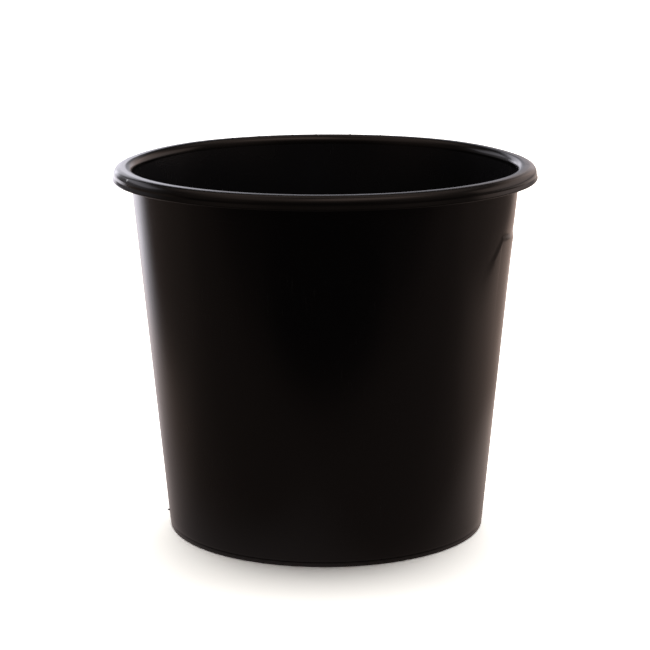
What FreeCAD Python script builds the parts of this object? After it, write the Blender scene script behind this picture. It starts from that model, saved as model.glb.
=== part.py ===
import FreeCAD, Part
import math
import os

import Sketcher

# A black injection-moulded flower bucket of about ten litres, in millimetres.
# The bucket is one moulding. It is drawn as its zones, each a ring or a disc turned about the bucket's axis,
# and neighbouring zones meet face to face on flat rings. Z points up the axis from the ground at Z = 0.

SIZES = {
    # overall
    "bucket_height": 249.0,
    "base_diameter": 215.4,        # of the wall's outer face, carried down to the ground
    "wall_taper": 5.35,            # degrees that the wall leans outwards
    "wall_thickness": 1.6,
    # bottom
    "foot_height": 2.2,
    "foot_width": 6.0,
    "foot_rounding": 0.7,
    "mould_line_step": 0.25,       # the foot stands this far inside the wall above it
    "floor_thickness": 2.0,
    "corner_height": 6.0,          # of the thickened foot of the wall, above the floor
    "cove_width": 3.6,             # the inside corner: how far it reaches in over the floor,
    "cove_height": 1.7,            # how high its slope would meet the wall,
    "cove_rounding": 5.0,          # and the rounding between the two
    "gate_diameter": 7.0,
    "gate_length": 1.1,
    "gate_rounding": 0.4,
    # rim
    "rim_diameter": 285.0,         # over the bead, the widest place
    "rim_depth": 9.0,              # crest to the skirt's lower edge
    "rim_thickness": 1.8,
    "rim_join_depth": 6.0,         # crest to the plane where the wall and the skirt meet the roll
    "roll_inner_rounding": 5.0,
    "roll_outer_rounding": 5.2,
    "channel_rounding": 3.4,       # under the roll
    "bead_height": 1.6,
    "bead_projection": 0.7,
    "bead_rounding": 0.5,
}

FULL_TURN = 360.0

# Radii and heights that several zones share, as expressions of the document.
AXIS = "0"
GROUND = "0"
CREST = "Sizes.bucket_height"
BASE_RADIUS = "Sizes.base_diameter / 2"
FOOT_TOP = "Sizes.foot_height"
FOOT_INNER_RADIUS = f"{BASE_RADIUS} - Sizes.foot_width"
FLOOR_TOP = "(Sizes.foot_height + Sizes.floor_thickness)"
COVE_TOP = f"({FLOOR_TOP} + Sizes.cove_height)"
WALL_START = f"({FLOOR_TOP} + Sizes.corner_height)"
JOIN = "(Sizes.bucket_height - Sizes.rim_join_depth)"
CHANNEL_TOP = "(Sizes.bucket_height - Sizes.rim_thickness)"
RIM_RADIUS = "Sizes.rim_diameter / 2"
SKIRT_RADIUS = f"({RIM_RADIUS} - Sizes.bead_projection)"
SKIRT_INNER_RADIUS = f"({SKIRT_RADIUS} - Sizes.rim_thickness)"
SKIRT_END = "(Sizes.bucket_height - Sizes.rim_depth)"

# Places in a sketch: its two axes, its origin, and the named points of a side, an arc or a point.
ACROSS_AXIS, UP_AXIS = -1, -2
ORIGIN = (-1, 1)
START, END, ITSELF = 1, 2, 1


def wall_outside(height):
    """The radius of the wall's outer face at a height, as an expression."""
    return f"({BASE_RADIUS} + {height} * tan(Sizes.wall_taper))"


def wall_inside(height):
    """The radius of the wall's inner face at a height, as an expression."""
    return f"({wall_outside(height)} - Sizes.wall_thickness / cos(Sizes.wall_taper))"


def make_sheet(doc):
    """The spreadsheet of driving dimensions, one named cell each."""
    sheet = doc.addObject("Spreadsheet::Sheet", "Sizes")
    for row, (alias, value) in enumerate(SIZES.items(), start=1):
        sheet.set(f"A{row}", alias)
        sheet.set(f"B{row}", str(value))
        sheet.setAlias(f"B{row}", alias)
    doc.recompute()


def bind(sketch, constraint, expression):
    """Adds a dimension to a sketch and ties it to an expression."""
    index = sketch.addConstraint(constraint)
    sketch.setExpression(f"Constraints[{index}]", expression)


def mark_corner(sketch, place, radius, height):
    """A construction point at a corner of a section, held by the corner's radius and height."""
    point = sketch.addGeometry(Part.Point(place), True)
    if radius == AXIS:
        sketch.addConstraint(Sketcher.Constraint("PointOnObject", point, ITSELF, UP_AXIS))
    else:
        bind(sketch, Sketcher.Constraint("DistanceX", *ORIGIN, point, ITSELF, place.x), radius)
    if height == GROUND:
        sketch.addConstraint(Sketcher.Constraint("PointOnObject", point, ITSELF, ACROSS_AXIS))
    else:
        bind(sketch, Sketcher.Constraint("DistanceY", *ORIGIN, point, ITSELF, place.y), height)
    return point


def round_corner(sketch, place, before, after, rounding, expression):
    """An arc that rounds a corner, tangent to the side that comes in and the side that goes out.

    `before` and `after` are the unit vectors from the corner along those two sides. The result is the arc and
    its two named points, the incoming side's first.
    """
    half_angle = before.getAngle(after) / 2
    inwards = (before + after).normalize()
    centre = place + inwards * (rounding / math.sin(half_angle))
    reach = rounding / math.tan(half_angle)
    spokes = [place + side * reach - centre for side in (before, after)]
    angles = [math.atan2(spoke.y, spoke.x) for spoke in spokes]
    turns_left = after.cross(before).z > 0
    points = (START, END) if turns_left else (END, START)
    circle = Part.Circle(centre, FreeCAD.Vector(0, 0, 1), rounding)
    arc = sketch.addGeometry(Part.ArcOfCircle(circle, *(angles if turns_left else reversed(angles))), False)
    bind(sketch, Sketcher.Constraint("Radius", arc, rounding), expression)
    return arc, points


def draw_section(sketch, corners):
    """Draws a closed section, anticlockwise, through corners of (radius, height) or (radius, height, rounding).

    The three are expressions. Each side runs through the points that mark its two corners, and a rounding is
    an arc tangent to both sides.
    """
    count = len(corners)
    places = [FreeCAD.Vector(sketch.evalExpression(corner[0]), sketch.evalExpression(corner[1]), 0)
              for corner in corners]
    marks = [mark_corner(sketch, place, corner[0], corner[1]) for place, corner in zip(places, corners)]
    sides = [sketch.addGeometry(Part.LineSegment(places[i], places[(i + 1) % count]), False)
             for i in range(count)]
    for i, corner in enumerate(corners):
        side_in, side_out = sides[i - 1], sides[i]
        if len(corner) == 2:
            sketch.addConstraint(Sketcher.Constraint("Coincident", side_in, END, marks[i], ITSELF))
            sketch.addConstraint(Sketcher.Constraint("Coincident", side_out, START, marks[i], ITSELF))
            continue
        before = (places[i - 1] - places[i]).normalize()
        after = (places[(i + 1) % count] - places[i]).normalize()
        rounding = sketch.evalExpression(corner[2])
        arc, (first, last) = round_corner(sketch, places[i], before, after, rounding, corner[2])
        for side in (side_in, side_out):
            sketch.addConstraint(Sketcher.Constraint("PointOnObject", marks[i], ITSELF, side))
        sketch.addConstraint(Sketcher.Constraint("Tangent", side_in, END, arc, first))
        sketch.addConstraint(Sketcher.Constraint("Tangent", arc, last, side_out, START))


def turned_body(doc, label, corners):
    """A body made by turning one section a full turn about the bucket's axis."""
    body = doc.addObject("PartDesign::Body", label)
    body.Label = label
    body.Placement = FreeCAD.Placement()
    upright_plane = next(plane for plane in body.Origin.OriginFeatures if plane.Role == "XZ_Plane")
    sketch = body.newObject("Sketcher::SketchObject", f"{label}_section")
    sketch.AttachmentSupport = (upright_plane, [""])
    sketch.MapMode = "FlatFace"
    draw_section(sketch, corners)
    doc.recompute()
    turn = body.newObject("PartDesign::Revolution", f"{label}_turn")
    turn.Profile = sketch
    turn.ReferenceAxis = (sketch, ["V_Axis"])
    turn.Angle = FULL_TURN
    doc.recompute()
    return body


def foot_ring(doc):
    """The low ring that the bucket stands on, a hair inside the wall above it."""
    return turned_body(doc, "foot_ring", [
        (FOOT_INNER_RADIUS, GROUND, "Sizes.foot_rounding"),
        (f"{wall_outside(GROUND)} - Sizes.mould_line_step", GROUND, "Sizes.foot_rounding"),
        (f"{wall_outside(FOOT_TOP)} - Sizes.mould_line_step", FOOT_TOP),
        (FOOT_INNER_RADIUS, FOOT_TOP),
    ])


def floor_disc(doc):
    """The flat floor, out to the wall's outer face."""
    return turned_body(doc, "floor_disc", [
        (AXIS, FOOT_TOP),
        (wall_outside(FOOT_TOP), FOOT_TOP),
        (wall_outside(FLOOR_TOP), FLOOR_TOP),
        (AXIS, FLOOR_TOP),
    ])


def corner_ring(doc):
    """The foot of the wall, thickened by the rounded inside corner."""
    return turned_body(doc, "corner_ring", [
        (wall_outside(FLOOR_TOP), FLOOR_TOP),
        (wall_outside(WALL_START), WALL_START),
        (wall_inside(WALL_START), WALL_START),
        (wall_inside(COVE_TOP), COVE_TOP, "Sizes.cove_rounding"),
        (f"{wall_inside(FLOOR_TOP)} - Sizes.cove_width", FLOOR_TOP),
    ])


def gate_nub(doc):
    """The stub where the sprue was cut off, under the middle of the floor and clear of the ground."""
    nub_radius = "Sizes.gate_diameter / 2"
    nub_end = "(Sizes.foot_height - Sizes.gate_length)"
    return turned_body(doc, "gate_nub", [
        (AXIS, nub_end),
        (nub_radius, nub_end, "Sizes.gate_rounding"),
        (nub_radius, FOOT_TOP),
        (AXIS, FOOT_TOP),
    ])


def side_wall(doc):
    """The tapered wall, from the corner ring up to the rim."""
    return turned_body(doc, "side_wall", [
        (wall_inside(WALL_START), WALL_START),
        (wall_outside(WALL_START), WALL_START),
        (wall_outside(JOIN), JOIN),
        (wall_inside(JOIN), JOIN),
    ])


def rim_roll(doc):
    """The rounded top of the rim, which carries the wall's two faces up and over to the skirt."""
    return turned_body(doc, "rim_roll", [
        (SKIRT_RADIUS, JOIN),
        (SKIRT_RADIUS, CREST, "Sizes.roll_outer_rounding"),
        (wall_inside(CREST), CREST, "Sizes.roll_inner_rounding"),
        (wall_inside(JOIN), JOIN),
        (wall_outside(JOIN), JOIN),
        (wall_outside(CHANNEL_TOP), CHANNEL_TOP, "Sizes.channel_rounding"),
        (SKIRT_INNER_RADIUS, CHANNEL_TOP, "Sizes.channel_rounding"),
        (SKIRT_INNER_RADIUS, JOIN),
    ])


def rim_skirt(doc):
    """The turned-down edge of the rim, with the bead that stiffens its lower edge."""
    bead_top = f"({SKIRT_END} + Sizes.bead_height)"
    return turned_body(doc, "rim_skirt", [
        (SKIRT_INNER_RADIUS, SKIRT_END),
        (RIM_RADIUS, SKIRT_END, "Sizes.bead_rounding"),
        (RIM_RADIUS, bead_top, "Sizes.bead_rounding"),
        (SKIRT_RADIUS, bead_top),
        (SKIRT_RADIUS, JOIN),
        (SKIRT_INNER_RADIUS, JOIN),
    ])


def check(doc, bodies):
    """Stops if any object failed, any sketch can still move, or any zone isn't one sound solid."""
    for thing in doc.Objects:
        if "Invalid" in thing.State or "Error" in thing.State:
            raise RuntimeError(f"{thing.Label} failed: {thing.State}")
        if thing.isDerivedFrom("Sketcher::SketchObject") and not thing.FullyConstrained:
            raise RuntimeError(f"{thing.Label} isn't fully constrained")
    for body in bodies:
        shape = body.Shape
        if shape.isNull() or not shape.isValid() or len(shape.Solids) != 1:
            raise RuntimeError(f"{body.Label} isn't one sound solid")


def main():
    """Builds every zone of the bucket, checks the document and writes one STEP file per zone."""
    doc = FreeCAD.newDocument("flower_bucket")
    make_sheet(doc)
    zones = (foot_ring, floor_disc, gate_nub, corner_ring, side_wall, rim_roll, rim_skirt)
    bodies = [zone(doc) for zone in zones]
    check(doc, bodies)
    os.makedirs("parts", exist_ok=True)
    for body in bodies:
        body.Shape.exportStep(f"parts/{body.Label}.step")
        box = body.Shape.optimalBoundingBox(False)
        print(f"{body.Label:12s} volume {body.Shape.Volume / 1000:7.2f} cm3   "
              f"diameter {box.XLength:7.2f}   height {box.ZMin:7.2f} to {box.ZMax:7.2f}")


main()
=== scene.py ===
"""A black moulded flower bucket in its finished skin, standing in a plain soft studio.

The bucket is one moulding. It is drawn as rings and discs turned about its axis, and each of them stands
for the zone of the same place in the frame: its radii and heights are read from there. What is added here
is the slight unevenness of a thin wall, the marks that moulding and handling leave, and the plastic's skin.
"""

import logging
import math
from collections.abc import Callable, Mapping, Sequence
from dataclasses import dataclass, field
from enum import Enum

import bmesh
import bpy
from mathutils import Matrix, Vector, noise

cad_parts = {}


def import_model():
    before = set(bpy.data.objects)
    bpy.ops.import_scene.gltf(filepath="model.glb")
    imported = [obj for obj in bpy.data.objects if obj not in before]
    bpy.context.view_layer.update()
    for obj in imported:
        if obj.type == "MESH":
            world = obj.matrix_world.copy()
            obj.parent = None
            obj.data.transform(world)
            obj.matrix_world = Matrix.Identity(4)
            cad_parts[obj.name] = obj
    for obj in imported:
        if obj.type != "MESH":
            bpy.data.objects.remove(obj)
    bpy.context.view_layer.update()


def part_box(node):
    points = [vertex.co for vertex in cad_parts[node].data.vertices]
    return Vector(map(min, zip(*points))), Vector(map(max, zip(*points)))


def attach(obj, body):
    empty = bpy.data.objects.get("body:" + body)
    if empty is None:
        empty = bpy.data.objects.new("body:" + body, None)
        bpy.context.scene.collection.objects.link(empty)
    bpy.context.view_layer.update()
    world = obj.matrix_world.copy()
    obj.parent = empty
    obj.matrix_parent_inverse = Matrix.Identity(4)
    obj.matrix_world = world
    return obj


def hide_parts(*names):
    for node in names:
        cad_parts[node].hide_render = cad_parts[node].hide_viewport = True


LOG = logging.getLogger("flower_bucket")

MM = 0.001
BODY = "root"
# A point nearer to the axis than this is on it.
ON_AXIS = 1e-7
# Edges that turn by more than this stay sharp.
SHARP_EDGE = math.radians(32)
# A face looks up or down where the upright part of its normal is more than this.
LEVEL_FACE = 0.75

Row = tuple[float, float, float]
Shift = Callable[[float, float], float]


class Side(Enum):
    """Which way a face of the moulding looks."""

    OUTWARD = "outward"
    INWARD = "inward"
    UP = "up"
    DOWN = "down"


# --------------------------------------------------------------------------------------------------
# Sizes and shapes
# --------------------------------------------------------------------------------------------------


@dataclass(frozen=True)
class Measures:
    """The bucket's driving sizes, read from the frame, in metres.

    Attributes:
        foot_top: Height of the top of the foot ring, where the floor begins.
        floor_top: Height of the floor's inside face.
        wall_start: Height where the thickened corner ends and the plain wall begins.
        skirt_end: Height of the skirt's lower edge.
        join: Height where the wall and the skirt meet the rim's roll.
        crest: Height of the rim's top.
        base_radius: Radius of the wall's outer face, carried down to the ground.
        lean: How much the wall's radius grows for each unit of height.
        skirt_radius: Outer radius of the skirt above its bead.
        rim_radius: Outer radius of the bead, the widest place.
        stub_radius: Radius of the stub under the floor.
        stub_end: Height of the stub's lower end.
    """

    foot_top: float
    floor_top: float
    wall_start: float
    skirt_end: float
    join: float
    crest: float
    base_radius: float
    lean: float
    skirt_radius: float
    rim_radius: float
    stub_radius: float
    stub_end: float

    @classmethod
    def from_frame(cls) -> "Measures":
        """Reads every size from the boxes of the frame's nodes.

        Returns:
            The measures, in metres.
        """
        foot_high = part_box("foot_ring")[1]
        floor_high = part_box("floor_disc")[1]
        corner_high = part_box("corner_ring")[1]
        wall_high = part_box("side_wall")[1]
        roll_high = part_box("rim_roll")[1]
        skirt_low, skirt_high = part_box("rim_skirt")
        stub_low, stub_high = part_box("gate_nub")
        lean = (wall_high.x - corner_high.x) / (wall_high.z - corner_high.z)
        return cls(
            foot_top=foot_high.z,
            floor_top=floor_high.z,
            wall_start=corner_high.z,
            skirt_end=skirt_low.z,
            join=wall_high.z,
            crest=roll_high.z,
            base_radius=corner_high.x - lean * corner_high.z,
            lean=lean,
            skirt_radius=roll_high.x,
            rim_radius=skirt_high.x,
            stub_radius=stub_high.x,
            stub_end=stub_low.z,
        )

    def outside(self, height: float) -> float:
        """Radius of the wall's outer face at a height."""
        return self.base_radius + self.lean * height

    def inside(self, height: float, thickness: float) -> float:
        """Radius of the wall's inner face at a height, for a wall of that thickness."""
        return self.outside(height) - thickness * math.hypot(1, self.lean)


@dataclass(frozen=True)
class Corner:
    """A corner of a turned section.

    Attributes:
        radius: Distance from the bucket's axis.
        height: Height above the ground.
        rounding: Radius of the arc that rounds the corner, or 0 for a plain corner.
        spacing: Greatest distance between rows along the side that leaves this corner.
    """

    radius: float
    height: float
    rounding: float = 0.0
    spacing: float = 4 * MM


@dataclass(frozen=True)
class Crease:
    """A crease knocked into the thin wall: its top runs level, and its front end turns down at a slant.

    The wall leans in above the level part, and stands out just below the line.

    Attributes:
        corner: Azimuth where the level part meets the slanting part, in radians.
        height: Height of the corner.
        fall: How much the level part drops for each radian towards the back.
        slant: How much the slanting part drops for each radian towards the front.
        front: How far the slanting part reaches from the corner, in radians.
        back: How far the level part reaches from the corner, in radians.
        depth: How far in the wall leans just above the level part.
        swell: How far the wall stands out below the line.
        drop: How far below the line the swelling is at its fullest.
        dint_reach: How far above the line the dint takes to fade.
        dint_run: How far along the level part the dint takes to reach its depth, in radians.
        swell_reach: How far below the line the swelling takes to fade.
        slant_share: Cosine of the slanting part's slope, which turns a drop into a distance from the line.
        front_hold: How long the slanting part holds before it fades: 1 fades all the way.
        back_hold: The same for the level part.
    """

    corner: float = math.radians(-24.5)
    height: float = 209.6 * MM
    fall: float = 14.0 * MM
    slant: float = 118 * MM
    front: float = math.radians(13)
    back: float = math.radians(30)
    depth: float = 0.42 * MM
    swell: float = 0.42 * MM
    drop: float = 5.0 * MM
    dint_reach: float = 9.0 * MM
    dint_run: float = math.radians(16)
    swell_reach: float = 15.0 * MM
    slant_share: float = 0.73
    front_hold: float = 1.15
    back_hold: float = 2.0

    def shift(self, azimuth: float, height: float) -> float:
        """How far the crease moves the wall outwards at a place.

        Args:
            azimuth: Angle round the axis, in radians.
            height: Height above the ground.

        Returns:
            The move along the radius, negative inwards.
        """
        along = (azimuth - self.corner + math.pi) % (2 * math.pi) - math.pi
        dint = self.depth * smooth(along / self.dint_run)
        below = self.height - height
        if along < 0:
            below = (below + self.slant * along) * self.slant_share
        else:
            below -= self.fall * along
        if below <= 0:
            move = -dint * math.exp(below / self.dint_reach)
        elif below < self.drop:
            move = (dint + self.swell) * smooth(below / self.drop) - dint
        else:
            move = self.swell * math.exp((self.drop - below) / self.swell_reach)
        front = smooth(self.front_hold * (1 + along / self.front))
        back = smooth(self.back_hold * (1 - along / self.back))
        return move * front * back


def smooth(share: float) -> float:
    """A share from 0 to 1, held at its ends and eased between them."""
    share = max(0.0, min(1.0, share))
    return share * share * (3 - 2 * share)


@dataclass(frozen=True)
class WallForm:
    """How the thin wall departs from a true cone, the same through its whole thickness.

    Attributes:
        steady: Height up to which the stiff bottom keeps the wall round.
        mouth: Height at which the oval and the rise have their full size.
        oval: How far the mouth is out of round.
        oval_turn: Azimuth of the mouth's longest way across.
        ripple: Size of the slow unevenness from cooling.
        ripples_round: How many slow swellings fit round the wall.
        ripple_height: Height over which the unevenness changes.
        fine_ripple: Share of a finer unevenness on top of it.
        fine_scale: How much finer that one is.
        rise: How much higher the mouth stands at the back than at the front, where it warped as it cooled.
        rise_turn: Azimuth of its highest place.
        rise_start: Cosine of the angle from that place where the rise begins.
        rise_width: How much that cosine grows until the rise is full.
        rise_level: Share of the rise that lies below the true height.
        crease: The crease knocked into the wall.
    """

    steady: float = 45 * MM
    mouth: float = 250 * MM
    oval: float = 0.12 * MM
    oval_turn: float = math.radians(35)
    ripple: float = 0.085 * MM
    ripples_round: float = 2.6
    ripple_height: float = 105 * MM
    fine_ripple: float = 0.3
    fine_scale: float = 3.1
    rise: float = 1.25 * MM
    rise_turn: float = math.radians(92)
    rise_start: float = 0.25
    rise_width: float = 0.6
    rise_level: float = 0.2
    crease: Crease = Crease()

    def shift(self, azimuth: float, height: float) -> float:
        """How far the wall stands off the true cone at a place.

        Args:
            azimuth: Angle round the axis, in radians.
            height: Height above the ground.

        Returns:
            The move along the radius, negative inwards.
        """
        freedom = min(1.0, height / self.steady) ** 2
        place = Vector((
            self.ripples_round * math.cos(azimuth),
            self.ripples_round * math.sin(azimuth),
            height / self.ripple_height,
        ))
        slow = noise.noise(place) + self.fine_ripple * noise.noise(place * self.fine_scale)
        oval = self.oval * math.cos(2 * (azimuth - self.oval_turn)) * min(1.0, height / self.mouth)
        return freedom * (self.ripple * slow + oval + self.crease.shift(azimuth, height))

    def lift(self, azimuth: float, height: float) -> float:
        """How far the wall stands above its true height at a place.

        Args:
            azimuth: Angle round the axis, in radians.
            height: Height above the ground.

        Returns:
            The move upwards.
        """
        share = smooth((math.cos(azimuth - self.rise_turn) - self.rise_start) / self.rise_width)
        return self.rise * (share - self.rise_level) * (height / self.mouth) ** 2


def section(corners: Sequence[Corner], arc_turn: float = math.radians(9)) -> list[Row]:
    """Runs a closed section through its corners, with an arc at each rounding.

    Args:
        corners: The corners, anticlockwise with the radius to the right.
        arc_turn: Greatest turn between two rows of an arc, in radians.

    Returns:
        Rows of (radius, height, wear), where wear is higher on tight outside roundings.
    """
    places = [Vector((corner.radius, corner.height)) for corner in corners]
    runs: list[tuple[list[Vector], float]] = []
    for index, corner in enumerate(corners):
        here = places[index]
        if corner.rounding <= 0:
            runs.append(([here], 0.0))
            continue
        before = (places[index - 1] - here).normalized()
        after = (places[(index + 1) % len(places)] - here).normalized()
        half = before.angle(after) / 2
        centre = here + (before + after).normalized() * (corner.rounding / math.sin(half))
        reach = corner.rounding / math.tan(half)
        start, end = here + before * reach - centre, here + after * reach - centre
        sweep = math.atan2(start.x * end.y - start.y * end.x, start.dot(end))
        steps = max(2, math.ceil(abs(sweep) / arc_turn))
        points = []
        for step in range(steps + 1):
            turned = Matrix.Rotation(sweep * step / steps, 2) @ start
            points.append(centre + turned)
        runs.append((points, min(1.0, MM / corner.rounding) if sweep > 0 else 0.0))
    rows: list[Row] = []
    for index, (points, wear) in enumerate(runs):
        rows.extend((point.x, point.y, wear) for point in points)
        start, end = points[-1], runs[(index + 1) % len(runs)][0][0]
        if start.x < ON_AXIS and end.x < ON_AXIS:
            continue
        pieces = max(1, math.ceil((end - start).length / corners[index].spacing))
        for step in range(1, pieces):
            between = start.lerp(end, step / pieces)
            rows.append((between.x, between.y, 0.0))
    return rows


@dataclass(frozen=True)
class Turning:
    """How sections are turned into meshes. Every zone has the same azimuths, so neighbours meet exactly.

    Attributes:
        coarse: Angle between columns, in degrees.
        fine: Angle between columns across the crease, in degrees.
        fine_from: Where the fine columns begin, in degrees.
        fine_to: Where they end, in degrees.
    """

    coarse: float = 1.0
    fine: float = 0.4
    fine_from: float = -34.0
    fine_to: float = 14.0

    def azimuths(self) -> list[float]:
        """The columns' angles round the axis.

        Returns:
            The angles in radians, rising through one full turn.
        """
        fine_count = round((self.fine_to - self.fine_from) / self.fine)
        coarse_count = round((360 - self.fine_to + self.fine_from) / self.coarse)
        fine = [self.fine_from + self.fine * step for step in range(fine_count)]
        coarse = [self.fine_to + self.coarse * step for step in range(coarse_count)]
        return [math.radians(angle) for angle in fine + coarse]

    def turn(self, name: str, rows: Sequence[Row], shift: Shift, lift: Shift) -> bpy.types.Object:
        """Turns a closed section into a closed mesh.

        Args:
            name: Name of the piece.
            rows: The section's rows of (radius, height, wear).
            shift: How far each place stands off the turned shape, from its azimuth and height.
            lift: How far each place stands above it.

        Returns:
            The piece, linked to the scene, with its wear stored on its points.
        """
        azimuths = self.azimuths()
        mesh = bpy.data.meshes.new(name)
        shell = bmesh.new()
        wear_layer = shell.verts.layers.float.new("wear")
        rings = []
        for radius, height, wear in rows:
            if radius < ON_AXIS:
                ring = [shell.verts.new((0, 0, height))]
            else:
                ring = []
                for azimuth in azimuths:
                    out = radius + shift(azimuth, height)
                    up = height + lift(azimuth, height)
                    ring.append(shell.verts.new((out * math.cos(azimuth), out * math.sin(azimuth), up)))
            for point in ring:
                point[wear_layer] = wear
            rings.append(ring)
        for lower, upper in zip(rings, rings[1:] + rings[:1]):
            if len(lower) == len(upper) == 1:
                continue
            for column in range(len(azimuths)):
                following = (column + 1) % len(azimuths)
                loop = [lower[column % len(lower)], lower[following % len(lower)],
                        upper[following % len(upper)], upper[column % len(upper)]]
                shell.faces.new(dict.fromkeys(loop))
        return finish_mesh(mesh, shell)


def finish_mesh(mesh: bpy.types.Mesh, shell: bmesh.types.BMesh) -> bpy.types.Object:
    """Turns the faces outwards, shades them smooth between sharp edges and links the piece.

    Args:
        mesh: The mesh to fill. The piece takes its name.
        shell: The faces, which are freed.

    Returns:
        The piece.
    """
    bmesh.ops.recalc_face_normals(shell, faces=shell.faces[:])
    for face in shell.faces:
        face.smooth = True
    for edge in shell.edges:
        edge.smooth = edge.calc_face_angle(math.pi) < SHARP_EDGE
    shell.to_mesh(mesh)
    shell.free()
    piece = bpy.data.objects.new(mesh.name, mesh)
    bpy.context.scene.collection.objects.link(piece)
    return piece


def lump(name: str, move: Callable[[Vector], Vector]) -> bpy.types.Object:
    """Makes a small closed lump from a ball of unit radius.

    Args:
        name: Name of the piece.
        move: Says where each point of the ball goes.

    Returns:
        The piece.
    """
    shell = bmesh.new()
    bmesh.ops.create_icosphere(shell, subdivisions=3, radius=1.0)
    for point in shell.verts:
        point.co = move(point.co)
    return finish_mesh(bpy.data.meshes.new(name), shell)


def side_of(face: bpy.types.MeshPolygon) -> Side:
    """Which way a face looks.

    Args:
        face: A face of a turned piece.

    Returns:
        Up or down for a face that is nearer level than upright, else outward or inward.
    """
    if abs(face.normal.z) > LEVEL_FACE:
        return Side.UP if face.normal.z > 0 else Side.DOWN
    outward = face.normal.x * face.center.x + face.normal.y * face.center.y
    return Side.OUTWARD if outward > 0 else Side.INWARD


# --------------------------------------------------------------------------------------------------
# Shading
# --------------------------------------------------------------------------------------------------

Value = float | tuple | bpy.types.NodeSocket


@dataclass(frozen=True)
class Grains:
    """What a noise in the skin is like.

    Attributes:
        count: How many grains fit in a metre, the same all ways or along each axis.
        detail: How many finer layers it has.
        rough: How strong the finer layers are.
        start: Where the noise begins to count, or None where all of it does.
        full: Where it counts fully.
        least: What is left of it below the start.
    """

    count: float | tuple[float, float, float]
    detail: float = 2.0
    rough: float = 0.5
    start: float | None = None
    full: float = 1.0
    least: float = 0.0


class Graph:
    """A node tree that is being wired."""

    def __init__(self, tree: bpy.types.NodeTree) -> None:
        """Takes a tree and empties it.

        Args:
            tree: The node tree of a material, the world or a group.
        """
        self.tree = tree
        tree.nodes.clear()

    def node(self, kind: str, inputs: Mapping[int | str, Value] | None = None,
             **settings: object) -> bpy.types.Node:
        """Adds a node.

        Args:
            kind: The node's type name.
            inputs: What each input takes: a plain value, or the socket that feeds it.
            settings: The node's own properties.

        Returns:
            The node.
        """
        made = self.tree.nodes.new(kind)
        for name, setting in settings.items():
            setattr(made, name, setting)
        for name, value in (inputs or {}).items():
            if isinstance(value, bpy.types.NodeSocket):
                self.tree.links.new(value, made.inputs[name])
            else:
                made.inputs[name].default_value = value
        return made

    def sum(self, operation: str, first: Value, second: Value = 0.0, third: Value = 0.0,
            clamp: bool = False) -> bpy.types.NodeSocket:
        """One step of arithmetic.

        Args:
            operation: The name of the operation.
            first: The first number.
            second: The second number.
            third: The third number, for operations that take it.
            clamp: Whether the result is kept from 0 to 1.

        Returns:
            The result.
        """
        inputs = {0: first, 1: second, 2: third}
        return self.node("ShaderNodeMath", inputs, operation=operation, use_clamp=clamp).outputs[0]

    def vector(self, operation: str, first: Value, second: Value) -> bpy.types.NodeSocket:
        """One step of arithmetic on colours or places, part by part."""
        return self.node("ShaderNodeVectorMath", {0: first, 1: second}, operation=operation).outputs[0]

    def squares(self, first: Value, second: Value) -> bpy.types.NodeSocket:
        """The sum of two numbers' squares."""
        return self.sum("ADD", self.sum("POWER", first, 2.0), self.sum("POWER", second, 2.0))

    def ease(self, value: Value, start: Value, end: Value, low: Value = 0.0,
             high: Value = 1.0) -> bpy.types.NodeSocket:
        """A smooth step from one value to another.

        Args:
            value: The number that is followed.
            start: Where the step begins.
            end: Where it ends.
            low: The result before the step.
            high: The result after it.

        Returns:
            The result.
        """
        rising = self.node("ShaderNodeMapRange", {0: value, 1: start, 2: end, 3: 0.0, 4: 1.0},
                           interpolation_type="SMOOTHSTEP").outputs[0]
        if (low, high) == (0.0, 1.0):
            return rising
        return self.node("ShaderNodeMapRange", {0: rising, 3: low, 4: high}).outputs[0]

    def blend(self, factor: Value, first: Value, second: Value) -> bpy.types.NodeSocket:
        """A mix of two colours.

        Args:
            factor: How much of the second shows.
            first: The first colour.
            second: The second colour.

        Returns:
            The mixed colour.
        """
        made = self.node("ShaderNodeMix", {0: factor, 6: first, 7: second}, data_type="RGBA")
        return made.outputs[2]

    def speckle(self, place: bpy.types.NodeSocket, grains: Grains) -> bpy.types.NodeSocket:
        """Noise from 0 to 1.

        Args:
            place: Where the surface is.
            grains: What the noise is like.

        Returns:
            The noise, or how far it is past its threshold where it has one.
        """
        scale = grains.count
        if isinstance(scale, tuple):
            place = self.vector("MULTIPLY", place, scale)
            scale = 1
        value = self.node("ShaderNodeTexNoise", {
            "Vector": place, "Scale": scale, "Detail": grains.detail, "Roughness": grains.rough}).outputs[0]
        if grains.start is None:
            return value
        return self.ease(value, grains.start, grains.full, grains.least)


def new_group(name: str, inputs: Mapping[str, float], outputs: Sequence[str],
              vector_inputs: Sequence[str] = ()) -> tuple[Graph, bpy.types.Node, bpy.types.Node]:
    """Starts a shader node group with named sockets.

    Args:
        name: The group's name.
        inputs: Its number inputs with the values that they start with.
        outputs: Its number outputs.
        vector_inputs: Its vector inputs.

    Returns:
        The group's graph, its input node and its output node.
    """
    tree = bpy.data.node_groups.new(name, "ShaderNodeTree")
    graph = Graph(tree)
    for label in vector_inputs:
        tree.interface.new_socket(label, in_out="INPUT", socket_type="NodeSocketVector")
    for label, start in inputs.items():
        tree.interface.new_socket(label, in_out="INPUT", socket_type="NodeSocketFloat").default_value = start
    for label in outputs:
        tree.interface.new_socket(label, in_out="OUTPUT", socket_type="NodeSocketFloat")
    return graph, graph.node("NodeGroupInput"), graph.node("NodeGroupOutput")


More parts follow.
